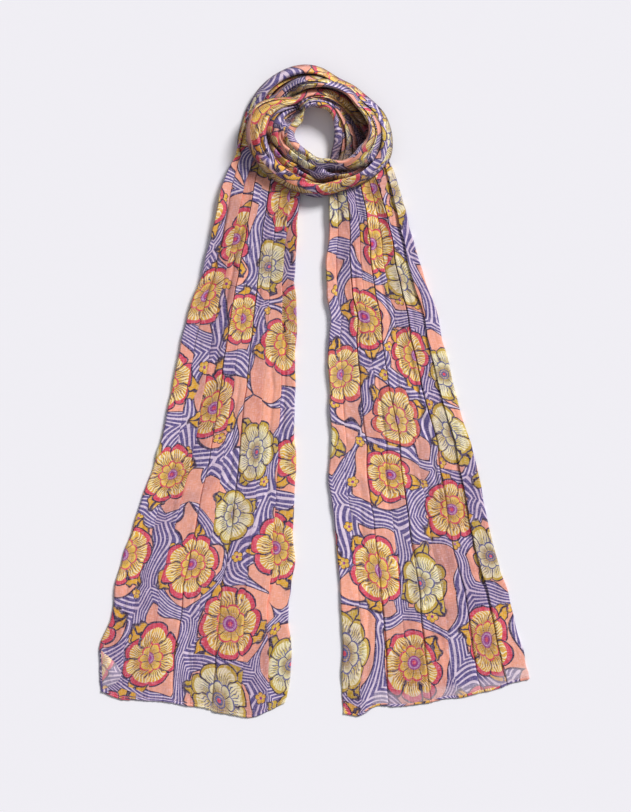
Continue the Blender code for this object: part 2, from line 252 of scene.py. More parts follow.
# Long slanting creases: where they start and end along a stretch (as shares of its length) and
# across it (shares from the outer edge), with their depth and width.
CREASE_COLUMNS = "start end from_side to_side depth width"
CREASES = {
    "left_end": table(CREASE_COLUMNS, (
        (0.02, 0.42, 0.07, 0.05, 1.8, 1.8),
        (0.10, 0.48, 0.20, 0.23, 1.5, 1.5),
        (0.00, 0.30, 0.46, 0.44, 1.7, 1.8),
        (0.18, 0.62, 0.57, 0.52, 1.8, 1.7),
        (0.05, 0.36, 0.71, 0.74, 1.4, 1.5),
        (0.28, 0.70, 0.83, 0.80, 1.8, 1.7),
        (0.50, 0.96, 0.31, 0.36, 2.1, 1.7),
        (0.55, 0.98, 0.66, 0.60, 2.0, 1.7),
        (0.60, 0.97, 0.10, 0.16, 1.8, 1.5),
        (0.38, 0.80, 0.93, 0.90, 1.5, 1.4),
    )),
    "right_end": table(CREASE_COLUMNS, (
        (0.02, 0.40, 0.20, 0.26, 2.0, 1.7),
        (0.04, 0.50, 0.48, 0.44, 1.8, 1.7),
        (0.10, 0.46, 0.70, 0.75, 1.7, 1.5),
        (0.30, 0.78, 0.33, 0.28, 1.8, 1.8),
        (0.36, 0.72, 0.60, 0.64, 1.8, 1.7),
        (0.52, 1.00, 0.16, 0.12, 1.7, 1.7),
        (0.58, 0.99, 0.80, 0.86, 1.8, 1.7),
        (0.66, 0.98, 0.52, 0.47, 1.5, 1.7),
    )),
    "loop_outer_course": table(CREASE_COLUMNS, (
        (0.25, 0.62, 0.15, 0.55, 3.5, 2.4),
        (0.40, 0.80, 0.70, 0.30, 3.0, 2.2),
        (0.60, 0.98, 0.90, 0.62, 3.5, 2.2),
        (0.70, 1.00, 0.45, 0.20, 3.0, 2.2),
    )),
    "loop_front_course": table(CREASE_COLUMNS, (
        (0.00, 0.40, 0.58, 0.12, 4.1, 2.4),
        (0.05, 0.52, 0.85, 0.40, 4.1, 2.4),
        (0.30, 0.78, 0.92, 0.66, 3.2, 2.2),
        (0.45, 0.92, 0.30, 0.52, 3.5, 2.4),
        (0.55, 0.98, 0.10, 0.28, 3.0, 2.2),
        (0.62, 1.00, 0.82, 0.70, 3.2, 2.2),
    )),
    "loop_inner_course": table(CREASE_COLUMNS, (
        (0.00, 0.45, 0.35, 0.70, 3.0, 2.0),
        (0.10, 0.60, 0.75, 0.45, 3.0, 2.0),
        (0.40, 0.95, 0.25, 0.50, 2.7, 2.2),
    )),
}
CREASE_FADE = 0.3  # share of a crease's length over which each of its ends fades
CREASE_SWAY = (0.012, 40.0)  # how far its line sways, as a share of the width, and how quickly
# Open slots between the loop's bands, whose starts and ends are turns round the loop.
SLOTS = table(CREASE_COLUMNS, (
    (26, 84, 0.42, 0.72, 15.0, 3.6),
    (66, 124, 0.38, 0.60, 13.0, 2.6),
    (112, 182, 0.64, 0.50, 11.0, 1.9),
    (186, 242, 0.84, 0.60, 10.0, 7.0),
    (-62, 30, 0.58, 0.40, 9.0, 1.7),
    (-150, -60, 0.40, 0.55, 9.0, 1.7),
    (140, 214, 0.22, 0.30, 7.0, 1.5),
))
SLOT_FADE = 14.0  # degrees over which each end of a slot fades
SLOT_SWAY = (0.02, 25.0)  # as for a crease
SLOT_SWELL = (0.35, 17.0)  # how unevenly wide it is, and how quickly that changes


def read_smoothly(keys, values, wanted):
    """Values of a smooth curve through a table's points, at the wanted keys."""
    slopes = np.gradient(values, keys)
    cell = np.clip(np.searchsorted(keys, wanted, side="right") - 1, 0, len(keys) - 2)
    span = keys[cell + 1] - keys[cell]
    t = (wanted - keys[cell]) / span
    start_weight = (1 + 2 * t) * (1 - t) ** 2
    end_weight = t * t * (3 - 2 * t)
    bend = t * (1 - t) ** 2 * slopes[cell] - t * t * (1 - t) * slopes[cell + 1]
    return start_weight * values[cell] + end_weight * values[cell + 1] + span * bend


def chance(x, y, seed):
    """A fixed, even scatter of numbers from 0 to 1 over whole-numbered places."""
    value = np.sin(x * 127.1 + y * 311.7 + seed * 74.7) * 43758.5453
    return value - np.floor(value)


def soft_noise(x, y, seed):
    """Smooth noise from -1 to 1 with features one unit wide."""
    x, y = np.broadcast_arrays(np.asarray(x, float), np.asarray(y, float))
    column, row = np.floor(x), np.floor(y)
    fx, fy = x - column, y - row
    fx = fx * fx * (3 - 2 * fx)
    fy = fy * fy * (3 - 2 * fy)
    low = chance(column, row, seed) * (1 - fx) + chance(column + 1, row, seed) * fx
    high = chance(column, row + 1, seed) * (1 - fx) + chance(column + 1, row + 1, seed) * fx
    return 2 * (low * (1 - fy) + high * fy) - 1


def crinkle(x, y, seed):
    """Noise from -1 to 1 with sharp crests, one unit apart."""
    return 1 - 2 * np.abs(soft_noise(x, y, seed)) ** CREST_POWER


def neighbours(values, reach):
    """An array moved by up to reach places along its first axis, with its ends held."""
    padded = np.pad(values, ((reach, reach), (0, 0))[:values.ndim], mode="edge")
    return [padded[shift:shift + len(values)] for shift in range(2 * reach + 1)]


def blur(values, radius):
    """Soften an array along its first axis."""
    reach = int(3 * radius)
    weights = np.exp(-0.5 * (np.arange(-reach, reach + 1) / radius) ** 2)
    weights /= weights.sum()
    return sum(weight * moved for weight, moved in zip(weights, neighbours(values, reach)))


def ramp(values, start, end):
    """0 before start, 1 after end, and an even S between them."""
    t = np.clip((values - start) / (end - start), 0, 1)
    return t * t * (3 - 2 * t)


def ease(t):
    """Quarter of a sine wave: 0 up to t = 0 and 1 from t = 1 on."""
    return np.sin(0.5 * math.pi * np.clip(t, 0, 1))


def widened(values, before, after, **how):
    """An array with more columns before and after it: of noughts, if nothing else is said."""
    return np.pad(values, ((0, 0), (before, after)), **how)


class Strip:
    """The strip's cross-lines one after the other: plan points of its edges and heights."""

    def __init__(self, rows):
        names = ("outer", "inner", "top_out", "top_in", "in_loop", "hem_sway", "turn", "stretch")
        for name, values in zip(names, zip(*rows)):
            setattr(self, name, np.array(values))
        middle = (self.outer + self.inner) / 2
        steps = np.linalg.norm(np.diff(middle, axis=0), axis=1)
        self.along = np.concatenate(([0.0], np.cumsum(steps)))

    def wave(self, length, seed, noise=soft_noise):
        """Noise from -1 to 1 along the strip, with features of that length."""
        return noise(self.along / length, 0, seed)

    def waves(self, lengths, *seeds):
        """Two such noises, a slow one and a quick one."""
        return [self.wave(length, seed) for length, seed in zip(lengths, seeds)]


def end_rows(name, end, outer_edge, inner_edge):
    """An end's cross-lines, from its hem up."""
    levels = end["y"][::-1]
    length = levels[-1] - levels[0]
    wanted = np.linspace(levels[0], levels[-1], int(length / END_STEP))
    outer, inner, rise = (
        read_smoothly(levels, end[column][::-1], wanted)
        for column in (outer_edge, inner_edge, "rise")
    )
    above_hem = wanted - levels[0]
    lowered = HEM_RISE + (1 - HEM_RISE) * ramp(above_hem, 0, HEM_REACH)
    height = PLEAT_RISE * rise * lowered + LEAST_LEVEL
    sway = np.maximum(0.0, 1 - above_hem / (HEM_SWAY_SHARE * length)) ** 2
    return [
        ((outer[row], level), (inner[row], level), height[row], height[row], 0.0, sway[row],
         NO_TURN, name)
        for row, level in enumerate(wanted)
    ]


def round_loop(radius, angle):
    """Plan point that far from the loop's centre, in that direction."""
    x, y = LOOP_CENTRE
    return (x + radius * math.cos(angle), y + radius * math.sin(angle))


def loop_rows():
    """The loop's cross-lines, from the left end's top to the right end's."""
    turns = COURSES["turn"]
    count = int(math.radians(turns[-1] - turns[0]) * MIDDLE_RADIUS / LOOP_STEP)
    wanted = np.linspace(turns[0], turns[-1], count)
    read = {name: read_smoothly(turns, values, wanted) for name, values in COURSES.items()}
    share = np.linspace(0, 1, count)
    in_loop = ramp(share, 0, LOOP_END_SHARE) * ramp(1 - share, 0, LOOP_END_SHARE)
    rows = []
    for row in range(1, count - 1):
        turn, half_skew = wanted[row], 0.5 * read["skew"][row]
        outer_angle = math.radians(-turn - half_skew)
        at_top = max(0.0, math.sin(outer_angle))
        rows.append((
            round_loop(read["outer"][row] - OUTER_INSET - TOP_INSET * at_top, outer_angle),
            round_loop(read["inner"][row] + INNER_INSET, math.radians(-turn + half_skew)),
            read["top_out"][row], read["top_in"][row], in_loop[row], 0.0, turn,
            next(name for name, end in COURSE_ENDS if turn < end),
        ))
    return rows


# The ends' uneven edges: how far they sway, over what lengths, and with what kind of noise.
EDGE_SWAYS = ((1.7, 31.0, soft_noise), (1.0, 12.0, soft_noise), (0.8, 9.0, crinkle))


def laid_strip():
    """The whole strip, with uneven edges and with its cross-lines eased into one another."""
    left_rows = end_rows("left_end", LEFT_END, "left", "right")
    right_rows = end_rows("right_end", RIGHT_END, "right", "left")
    strip = Strip(left_rows + loop_rows() + right_rows[::-1])
    across = strip.inner - strip.outer
    across /= np.linalg.norm(across, axis=1)[:, None]
    in_ends = (1 - strip.in_loop)[:, None]
    for edge, side, seed in ((strip.outer, -1, 51), (strip.inner, 1, 57)):
        sway = sum(
            far * strip.wave(length, seed + place, noise)
            for place, (far, length, noise) in enumerate(EDGE_SWAYS)
        )
        edge += side * in_ends * across * sway[:, None]
    rows = np.arange(len(strip.along))
    keep = np.minimum(1.0, np.minimum(rows, rows[::-1]) / EASED_AFTER)
    for name in ("outer", "inner", "top_out", "top_in", "in_loop"):
        values = getattr(strip, name)
        weight = keep if values.ndim == 1 else keep[:, None]
        setattr(strip, name, values * (1 - weight) + blur(values, EASING_ROWS) * weight)
    return strip


# ---------------------------------------------------------------- folds across the strip

def end_weights(strip):
    """How much each row belongs to the left end and to the right end, from 0 to 1."""
    in_ends = 1 - strip.in_loop
    return [
        blur((strip.stretch == name) * in_ends, END_BLEND_ROWS)[:, None]
        for name in ("left_end", "right_end")
    ]


def fold_edges(strip):
    """Shares across the strip where its valleys lie, row by row."""
    left, right = end_weights(strip)
    widths = left * FOLDS["left"] + right * FOLDS["right"] + (1 - left - right) * FOLDS["loop"]
    wander = END_WANDER + (LOOP_WANDER - END_WANDER) * strip.in_loop
    for fold in range(FOLD_COUNT):
        slow, quick = strip.waves(WIDTH_WAVES, 3 + fold, 23 + fold)
        widths[:, fold] *= np.exp(wander * (slow + 0.5 * quick))
    widths /= widths.sum(axis=1, keepdims=True)
    return widened(np.cumsum(widths, axis=1), 1, 0)


def valley_depths(strip):
    """Depth of each inner valley, row by row: some run the whole way and some fade out."""
    left, right = end_weights(strip)
    rise = strip.top_out[:, None] - LEAST_LEVEL
    in_ends = left * FOLDS["left_valley"] + right * FOLDS["right_valley"]
    in_ends = in_ends * END_VALLEY_SHARE * rise
    depths = []
    for valley in range(FOLD_COUNT - 1):
        slow, quick = strip.waves(VALLEY_WAVES, 43 + valley, 63 + valley)
        loop_share = np.clip(0.85 + 0.55 * slow + 0.2 * quick, 0.2, 1.3)
        end_share = np.clip(0.85 + 0.35 * slow + 0.1 * quick, 0.3, 1.1)
        in_loop = LOOP_FOLD_DEPTH * strip.in_loop * loop_share
        depths.append(in_ends[:, valley] * end_share + in_loop)
    return np.array(depths).T


def knife_pleat(phase, sharp):
    """Height of a knife pleat: a broad face that climbs to a sharp rolled edge."""
    climb = np.where(sharp > 0, phase, 1 - phase)
    face = PLEAT_LOW + (1 - PLEAT_LOW) * climb
    return face * ease(climb / LOW_SIDE_ROUND) * ease((1 - climb) / SHARP_SIDE_ROUND)


def trough(strip, sides, place, row, sway, seed, fading, swell=1.0):
    """Depth of one soft trough that slants across the strip, from a crease's or slot's row."""
    start, end, from_side, to_side, depth, width = row
    far, length = sway
    t = np.clip((place - start) / (end - start), 0, 1)
    line = from_side + (to_side - from_side) * t + far * strip.wave(length, seed)[:, None]
    fade = ramp(place, start, start + fading) * ramp(-place, -end, -end + fading)
    strip_width = np.linalg.norm(strip.outer - strip.inner, axis=1)[:, None]
    away = (sides - line) * strip_width / (width * swell)
    return depth * fade * np.exp(-away ** 2)


def crease_depth(strip, sides):
    """Depth of the slanting creases and of the loop's open slots over the whole strip."""
    total = np.zeros_like(sides)
    far, length = SLOT_SWELL
    turn = strip.turn[:, None]
    for slot in zip(*SLOTS.values()):
        start, end = slot[:2]
        swell = 1 + far * strip.wave(length, end)[:, None]
        total += trough(strip, sides, turn, slot, SLOT_SWAY, start, SLOT_FADE, swell)
    for stretch, creases in CREASES.items():
        along = strip.along[strip.stretch == stretch]
        place = ((strip.along - along[0]) / (along[-1] - along[0]))[:, None]
        for crease in zip(*creases.values()):
            start, end, _, _, depth, width = crease
            seed, fading = depth * 10 + width, CREASE_FADE * (end - start)
            total += trough(strip, sides, place, crease, CREASE_SWAY, seed, fading)
    return total


def height_under(x, y, trees, least=0.0):
    """Height of the laid cloth under a plan point, or the least where there is none."""
    above = Vector((x * METRES, y * METRES, FEEL_FROM))
    hits = [tree.ray_cast(above, DOWN)[0] for tree in trees]
    return max([least] + [hit.z / METRES for hit in hits if hit is not None])


def felt_below(plan, laid):
    """Height of the cloth already laid under each point, spread and softened."""
    heights = np.array([height_under(x, y, laid) for x, y in plan.reshape(-1, 2)])
    heights = heights.reshape(plan.shape[:2])
    for _ in ("along", "across"):
        heights = np.max(neighbours(heights, DRAPE_REACH), axis=0).T
    return blur(blur(heights, DRAPE_BLUR).T, DRAPE_BLUR).T


def grid_faces(rows, columns):
    """Corners of the quads of a grid of points."""
    first = np.arange(rows - 1)[:, None] * columns + np.arange(columns - 1)[None, :]
    first = first.reshape(-1)
    return np.stack((first, first + 1, first + columns + 1, first + columns), axis=1).tolist()


class Cloth:
    """The strip's surface: a grid with a row for each cross-line and columns from the foot of
    its outer side over the folds to the foot of its inner side."""

    def __init__(self, strip):
        self.strip = strip
        on_left = (strip.along < strip.along[-1] / 2)[:, None]
        sharp = np.where(on_left, FOLDS["left_sharp"], FOLDS["right_sharp"])
        # The foot of each inner valley is drawn under the sharp edges beside it.
        leans = np.where(sharp[:, 1:] < 0, 1.0, 0.0) - np.where(sharp[:, :-1] > 0, 1.0, 0.0)
        leans = widened(leans, 1, 1)
        edges = fold_edges(strip)
        self.valleys = widened(valley_depths(strip), 1, 1)
        steps = np.arange(FOLD_SAMPLES) / FOLD_SAMPLES
        phase = np.tile(0.5 - 0.5 * np.cos(math.pi * steps), FOLD_COUNT)

        def spread(values):
            return np.repeat(values, FOLD_SAMPLES, axis=1)

        sides = spread(edges[:, :-1]) + spread(np.diff(edges, axis=1)) * phase
        sides = widened(sides, 0, 1, constant_values=1.0)
        lean = spread(leans[:, :-1]) * (1 - phase) + spread(leans[:, 1:]) * phase
        lifts = [strip.wave(LIFT_WAVE, 131 + fold) for fold in range(FOLD_COUNT)]
        # Some folds of the ends have a second layer under them that shows through.
        doubled = [
            ramp(2.2 * strip.wave(DOUBLED_WAVE, 91 + 3 * fold) + 0.6 * (fold % 2), -0.3, 0.8)
            for fold in range(FOLD_COUNT)
        ]
        doubled = spread(np.array(doubled).T) * (1 - strip.in_loop)[:, None]
        self.doubled = widened(doubled, SIDE_SAMPLES, SIDE_SAMPLES + 1, mode="edge")
        self.folds = {
            "sides": sides,
            "phase": np.broadcast_to(np.append(phase, 1.0), sides.shape),
            "before": widened(spread(self.valleys[:, :-1]), 0, 1),
            "after": widened(spread(self.valleys[:, 1:]), 0, 1),
            "lean": widened(lean, 0, 1),
            "sharp": widened(spread(sharp), 0, 1, mode="edge"),
            "lift": widened(spread(np.array(lifts).T), 0, 1, mode="edge"),
            "creases": crease_depth(strip, sides),
        }
        self.points = np.zeros((*self.doubled.shape, 3))
        self.deep = np.zeros_like(self.doubled)

    def part(self, rows):
        """The strip and its folds at those rows, with plain values as columns."""
        values = {**vars(self.strip), **self.folds}
        return SimpleNamespace(**{
            name: value[rows] if value.ndim > 1 else value[rows][:, None]
            for name, value in values.items()
        })

    def lay(self, rows, laid, held_up=1.0):
        """Work out the cloth's points at those rows, on what is already laid."""
        part = self.part(rows)
        sides, phase, in_loop, in_ends = part.sides, part.phase, part.in_loop, 1 - part.in_loop
        plan = flat_plan(part)
        level = held_up * felt_below(plan, laid) if laid else np.zeros(sides.shape)
        roof = cloth_roof(part, level)
        to_floor = roof - level - LEAST_LEVEL
        edge_drop = (1 - END_EDGE_HEIGHT) * to_floor * in_ends
        edge_drop = edge_drop + LOOP_EDGE_DROP * to_floor * in_loop
        column = np.arange(sides.shape[1])
        before = np.where(column < FOLD_SAMPLES, edge_drop, part.before)
        after = np.where(column >= (FOLD_COUNT - 1) * FOLD_SAMPLES, edge_drop, part.after)
        before, after = np.minimum(before, to_floor), np.minimum(after, to_floor)
        depth = before * (1 - phase) + after * phase
        round_crest = np.sin(math.pi * phase) ** LOOP_ROUNDING
        crest = round_crest * in_loop + knife_pleat(phase, part.sharp) * in_ends
        sunk = depth * (1 - crest)
        width = np.linalg.norm(part.outer - part.inner, axis=1)[:, None]
        creased = np.minimum(part.creases, DEEPEST_CREASE * to_floor)
        fine = wrinkles(part, sides * width) * np.minimum(1, crest * 2.0)
        fine += FOLD_LIFT * in_loop * part.lift * crest
        height = np.maximum(roof - sunk - creased + fine, level + LEAST_LEVEL)
        lean_side = -LOOP_LEAN * in_loop + END_LEAN * in_ends * part.lean
        within = np.minimum(1, np.minimum(sides, 1 - sides) / LEAN_FROM)
        shift = lean_side * np.minimum(sunk, DEEPEST_LEAN) * within
        shift += 0.7 * soft_noise(part.along / 22.0, sides * 6, 19) * in_ends
        inwards = (part.inner - part.outer) / width
        plan = plan + inwards[:, None, :] * shift[:, :, None]
        top = np.concatenate((plan, height[:, :, None]), axis=2)
        # Painted shade: the cloth is darkened deep in its valleys and creases, and low in the
        # pocket beside the hole.
        deep = ramp(sunk + creased, *PAINTED_SHADE_DEPTHS)
        pocket_shade = (part.stretch == "loop_inner_course") * ramp(LOOP_TOP - height, *POCKET_SHADE_DEPTHS)
        deep = np.maximum(deep, pocket_shade)
        self.deep[rows] = widened(deep, SIDE_SAMPLES, SIDE_SAMPLES, mode="edge")
        outer_side = cloth_side(part, top[:, 0], -inwards, level[:, 0], 31)
        inner_side = cloth_side(part, top[:, -1], inwards, level[:, -1], 37)
        self.points[rows] = np.concatenate((outer_side[:, ::-1], top, inner_side), axis=1)

    def tree(self, rows):
        """The cloth laid at those rows, ready to be felt from above."""
        points = self.points[rows]
        corners = [Vector(point * METRES) for point in points.reshape(-1, 3)]
        return BVHTree.FromPolygons(corners, grid_faces(*points.shape[:2]))


def flat_plan(part):
    """Plan points of the flat strip, before its folds lean."""
    sides = part.sides
    points = part.outer[:, None] * (1 - sides[:, :, None])
    points = points + part.inner[:, None] * sides[:, :, None]
    for name, hem, shares in (
        ("left_end", LEFT_HEM, sides), ("right_end", RIGHT_HEM, 1 - sides)
    ):
        drop = read_smoothly(hem["share"], hem["drop"], shares)
        scallop = HEM_SCALLOP * soft_noise(shares * HEM_SCALLOPS, 0, 71)
        points[:, :, 1] -= (part.stretch == name) * (drop + scallop) * part.hem_sway
    return points


def cloth_roof(part, level):
    """Height of the crests: rounded off towards the sides in the loop."""
    sides, in_loop = part.sides, part.in_loop
    swell = LOOP_SWELL * soft_noise(part.along / SWELL_WAVE, sides * 2.5, 7) * in_loop
    roof = (part.top_out * (1 - sides) + part.top_in * sides) * (1 + swell)
    rounding = np.sqrt(1 - (1 - np.clip(np.minimum(sides, 1 - sides) / SHOULDER, 0, 1)) ** 2)
    edge_height = np.where(sides < 0.5, OUTER_EDGE_HEIGHT, INNER_EDGE_HEIGHT)
    roof = roof * (1 - in_loop * (1 - edge_height) * (1 - rounding))
    return np.maximum(roof, level + LEAST_LOOP_ROOF * in_loop + LEAST_END_ROOF * (1 - in_loop))


# Small crinkles that run along the cloth, and softer dents: how high they are, how broad, how
# long, how much they bend, and their noise and its seed.
WRINKLE_BEND = (3.0, 40.0, 38.0)
WRINKLES = (
    (0.42, 7.5, 52.0, 1.0, crinkle, 11),
    (0.28, 3.8, 24.0, 1.7, crinkle, 13),
    (0.30, 9.0, 13.0, 0.0, soft_noise, 17),
)


def wrinkles(part, across):
    """Height of the small crinkles and dents, a little higher in the loop."""
    high, broad, long = WRINKLE_BEND
    bend = high * soft_noise(part.along / long, across / broad, 5)
    fine = sum(
        high * noise((across + share * bend) / broad, part.along / long, seed)
        for high, broad, long, share, noise, seed in WRINKLES
    )
    return fine * (0.95 + 0.45 * part.in_loop)


def cloth_side(part, edge, outwards, level, seed):
    """Points down a side edge: rounded layers of cloth that turn under at their foot."""
    down = np.linspace(0, 1, SIDE_SAMPLES + 1)[None, 1:]
    drop = np.maximum(edge[:, 2] - level - LEAST_LEVEL, 0)[:, None]
    layers = 1 + (LAYERS - 1) * part.in_loop
    wander = 0.28 * soft_noise(part.along / 42.0, down * 1.5, seed)
    wave = np.abs(np.sin(math.pi * layers * (down + wander * np.sin(math.pi * down))))
    swell = 0.7 + 0.5 * soft_noise(part.along / 65.0, down, seed + 1)
    stand = LAYER_STAND * wave ** 0.7 * swell
    reach = drop * (stand - UNDERCUT * part.in_loop * down - TUCK * ramp(down, TUCK_FROM, 1.0))
    plan = edge[:, None, :2] + outwards[:, None, :] * reach[:, :, None]
    height = edge[:, 2][:, None] - drop * down
    return np.concatenate((plan, height[:, :, None]), axis=2)


def lay_cloth():
    """The cloth of the whole strip, and the rows of each stretch."""
    strip = laid_strip()
    cloth = Cloth(strip)
    rows = {}
    for name in np.unique(strip.stretch):
        here = np.nonzero(strip.stretch == name)[0]
        # A stretch takes in the first row of the next one, where they join.
        rows[str(name)] = np.arange(here[0], min(here[-1] + 2, len(strip.along)))
    lowest = ("left_end", "right_end", "loop_inner_course")
    for name in lowest:
        cloth.lay(rows[name], [])
    below = [cloth.tree(rows[name]) for name in lowest]
    cloth.lay(rows["loop_outer_course"], below[1:])
    first_part = rows["loop_outer_course"][:len(rows["loop_outer_course"]) // 2]
    front, inner = rows["loop_front_course"], rows["loop_inner_course"]
    crossing = np.concatenate((front, inner[1:CROSSING_ROWS + 1]))
    past_front = np.arange(len(crossing)) - len(front)
    held_up = 1 - ramp(past_front, -CROSSING_ROWS, CROSSING_ROWS)
    cloth.lay(crossing, below + [cloth.tree(first_part)], held_up[:, None])
    return cloth, rows


# ---------------------------------------------------------------- meshes

BAKE_MARGIN = 0.004  # of the baking map's square


def cloth_distances(cloth):
    """Distance across the cloth at each point, from its middle column, with what the valleys
    hide."""
    steps = np.linalg.norm(np.diff(cloth.points, axis=1), axis=2)
    for fold in range(1, FOLD_COUNT):
        depth = np.minimum(cloth.valleys[:, fold] / DEEP_VALLEY, MOST_HIDDEN)
        steps[:, SIDE_SAMPLES + fold * FOLD_SAMPLES] += HIDDEN_IN_VALLEY * depth
    across = blur(widened(np.cumsum(steps, axis=1), 1, 0), PRINT_BLUR_ROWS)
    return across - across[:, across.shape[1] // 2][:, None]


def add_object(name, data):
    """An object in the scene."""
    item = bpy.data.objects.new(name, data)
    bpy.context.collection.objects.link(item)
    return item


def add_piece(name, corners, faces, material):
    """A smooth mesh as an object, from corners in millimetres."""
    mesh = bpy.data.meshes.new(name)
    mesh.from_pydata((np.array(corners) * METRES).tolist(), [], faces)
    mesh.polygons.foreach_set("use_smooth", [True] * len(mesh.polygons))
    mesh.materials.append(material)
    return add_object(name, mesh)


def grid_piece(name, points, print_map, material, **shades):
    """A grid of points as a mesh, with the print's map, the baking map, the cloth's doubled and
    sheer shares and its painted shade.
    """
    size = points.shape[:2]
    piece = add_piece(name, points.reshape(-1, 3), grid_faces(*size), material)
    mesh = piece.data
    corner = np.zeros(len(mesh.loops), int)
    mesh.loops.foreach_get("vertex_index", corner)
    bake_along, bake_across = (
        np.linspace(BAKE_MARGIN, 1 - BAKE_MARGIN, count) for count in size
    )
    bake_map = np.stack(np.meshgrid(bake_across, bake_along), axis=2)
    for map_name, values in (("cloth", print_map * METRES), ("OFBake", bake_map)):
        layer = mesh.uv_layers.new(name=map_name)
        layer.data.foreach_set("uv", values.reshape(-1, 2)[corner].reshape(-1))
    for shade_name in ("doubled", "deep", "sheer"):
        layer = mesh.attributes.new(shade_name, "FLOAT", "POINT")
        values = np.broadcast_to(shades.get(shade_name, 0.0), size)
        layer.data.foreach_set("value", values.reshape(-1))
    return piece


def sheer_at_hem(points):
    """How much the floor shines through near the right hem, where one layer hangs lower."""
    above_hem = points[:, :, 1] - points[-1:, :, 1]
    edge = SHEER_STRIP * (0.85 + 0.15 * soft_noise(points[:, :, 0] / 30.0, 0, 97))
    here = ramp(points[:, :, 0], *SHEER_FROM_TO)
    return SHEER_SHARE * here * ramp(edge - above_hem, 0.0, SHEER_FADE)


def cloth_piece(name, cloth, across, rows, material):
    """A stretch of the strip as a mesh."""
    points = cloth.points[rows]
    along = np.repeat(cloth.strip.along[rows][:, None], across.shape[1], axis=1)
    return grid_piece(
        name, points, np.stack((across[rows], along), axis=2), material,
        doubled=cloth.doubled[rows], deep=cloth.deep[rows],
        sheer=sheer_at_hem(points) if name.endswith("right_end") else 0.0,
    )


def hem_line(cloth, across, row):
    """Even steps along a row of the cloth: their points, how far across the cloth they are, how
    far along the line, and its direction."""
    shown = slice(SIDE_SAMPLES, -SIDE_SAMPLES)
    line = np.concatenate((cloth.points[row, shown], across[row, shown][:, None]), axis=1)
    lengths = np.linalg.norm(np.diff(line[:, :3], axis=0), axis=1)
    place = np.concatenate(([0.0], np.cumsum(lengths)))
    wanted = np.linspace(0, place[-1], int(place[-1] / HEM_STEP))
    read = np.stack([np.interp(wanted, place, part) for part in line.T], axis=1)
    tangent = np.gradient(read[:, :3], axis=0)
    tangent /= np.linalg.norm(tangent, axis=1)[:, None]
    return read[:, :3], read[:, 3:], wanted, tangent


def hem_piece(name, cloth, across, row, material):
    """The narrow rolled hem along one end of the strip."""
    centre, from_middle, place, tangent = hem_line(cloth, across, row)
    outwards = np.stack((tangent[:, 1], -tangent[:, 0], 0 * place), axis=1)
    outwards *= -np.sign(outwards[:, 1:2])
    outwards /= np.linalg.norm(outwards, axis=1)[:, None]
    angles = np.linspace(-math.pi, math.pi, HEM_AROUND + 1)
    pucker = 1
    for (strength, length), seed in ((HEM_FINE_PUCKER, 101), (HEM_BROAD_PUCKER, 103)):
        pucker = pucker + strength * soft_noise(place / length, 0, seed)
    ends = ease(np.minimum(place, place[-1] - place) / HEM_WIDTH + 0.2)
    half_width = (0.5 * HEM_WIDTH * pucker * ends)[:, None, None]
    half_height = (0.5 * HEM_HEIGHT * pucker * ends)[:, None, None]
    centre[:, 2] = np.maximum(centre[:, 2] + HEM_LIFT, 0.5 * HEM_HEIGHT + HEM_CLEARANCE)
    rings = (
        centre[:, None]
        + half_width * outwards[:, None] * np.cos(angles)[None, :, None]
        + half_height * UPWARDS * np.sin(angles)[None, :, None]
    )
    along = cloth.strip.along[row] + angles * 0.5 * HEM_WIDTH
    print_map = np.stack(np.broadcast_arrays(from_middle, along), axis=2)
    return grid_piece(name, rings, print_map, material, doubled=0.5)


def stitches(name, cloth, across, row, material):
    """A row of small straight stitches just inside a hem, as one piece."""
    points, _, _, tangent = hem_line(cloth, across, row)
    corners, faces = [], []
    every = int(STITCH_SPACING / HEM_STEP)
    for index in range(every, len(points) - every, every):
        sideways = np.cross(UPWARDS, tangent[index])
        first = len(corners)
        for share, fullness in STITCH_RINGS:
            middle = points[index] + tangent[index] * (share * STITCH_LENGTH)
            half_thickness = 0.5 * STITCH_THICKNESS * fullness
            for spot in range(STITCH_AROUND):
                turn = 2 * math.pi * spot / STITCH_AROUND
                offset = sideways * math.cos(turn) + UPWARDS * math.sin(turn)
                corners.append(middle + (UPWARDS + offset) * half_thickness)
        last = len(corners) - STITCH_AROUND
        for low in range(first, last, STITCH_AROUND):
            for spot in range(STITCH_AROUND):
                here, after = low + spot, low + (spot + 1) % STITCH_AROUND
                faces.append((here, after, after + STITCH_AROUND, here + STITCH_AROUND))
        faces.append(tuple(range(first, first + STITCH_AROUND)))
        faces.append(tuple(range(last, last + STITCH_AROUND)))
    return add_piece(name, corners, faces, material)


def turned_corner(cloth, rows, material):
    """The small corner of the left hem that is folded over onto the cloth."""
    tree = cloth.tree(rows)
    top, bottom, tip = (np.array(corner, float) for corner in TURNED_CORNER)
    towards = tip - (top + bottom) / 2
    steps = np.linspace(0, 1, CORNER_SAMPLES)
    points = np.zeros((CORNER_SAMPLES, CORNER_SAMPLES, 3))
    for row, down in enumerate(steps):
        reach = 1 - abs(2 * down - 1) ** 1.6
        for place, share in enumerate(steps):
            x, y = top + (bottom - top) * down + towards * reach * share
            x += 1.2 * math.sin(9 * down) * share * reach
            bulge = CORNER_BULGE * math.sin(math.pi * min(1.0, share * 1.15)) * reach
            height = height_under(x, y, [tree], LEAST_LEVEL) + CORNER_LIFT + bulge
            points[row, place] = (x, y, height)
    mirrored = points[:, :, :2] * (-1.0, 1.0)
    return grid_piece("turned_corner", points, mirrored, material,
                      doubled=CORNER_DOUBLED, sheer=CORNER_PALENESS)


# ---------------------------------------------------------------- the print and the weave

